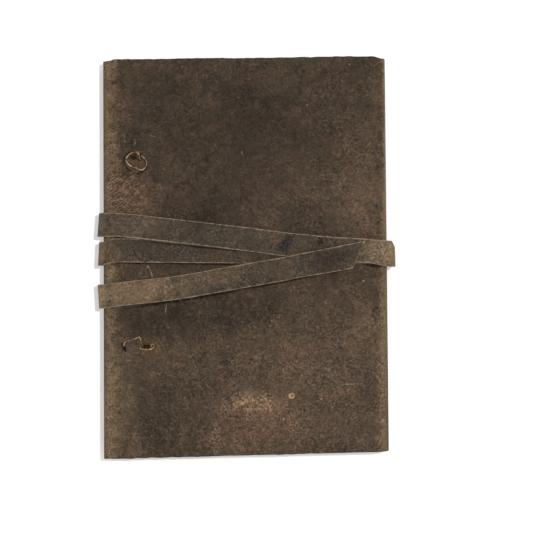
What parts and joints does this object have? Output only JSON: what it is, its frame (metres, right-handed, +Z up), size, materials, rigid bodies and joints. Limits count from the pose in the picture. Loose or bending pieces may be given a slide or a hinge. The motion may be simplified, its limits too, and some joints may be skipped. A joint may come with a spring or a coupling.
{
  "type": "leather journal",
  "caption": "Closed pocket journal with a soft, worn brown leather cover, wound round with a long leather strap and bound with cord ties beside the spine",
  "frame": {"origin": "middle of the footprint, at the height of the table that the closed journal lies on", "axes": "+Y up the book from tail to head, +X from the spine to the fore-edge, +Z up out of the front cover"},
  "size_m": [0.133, 0.1794, 0.0279],
  "materials": {
    "cover_leather": "matt, waxed and scuffed",
    "strap_leather": "matt, worn, with pale cut edges",
    "paper": "uncoated, soft-edged handmade sheets",
    "binding_cord": "twisted, waxed and frayed",
    "sewing_thread": "twisted and waxed"
  },
  "bodies": {
    "root": {"leather_cover": "cover_leather", "page_block": "paper", "wrap_strap": "strap_leather", "upper_binding_tie": "binding_cord", "lower_binding_tie": "binding_cord", "upper_stitch_row": "sewing_thread", "lower_stitch_row": "sewing_thread"}
  },
  "joints": []
}
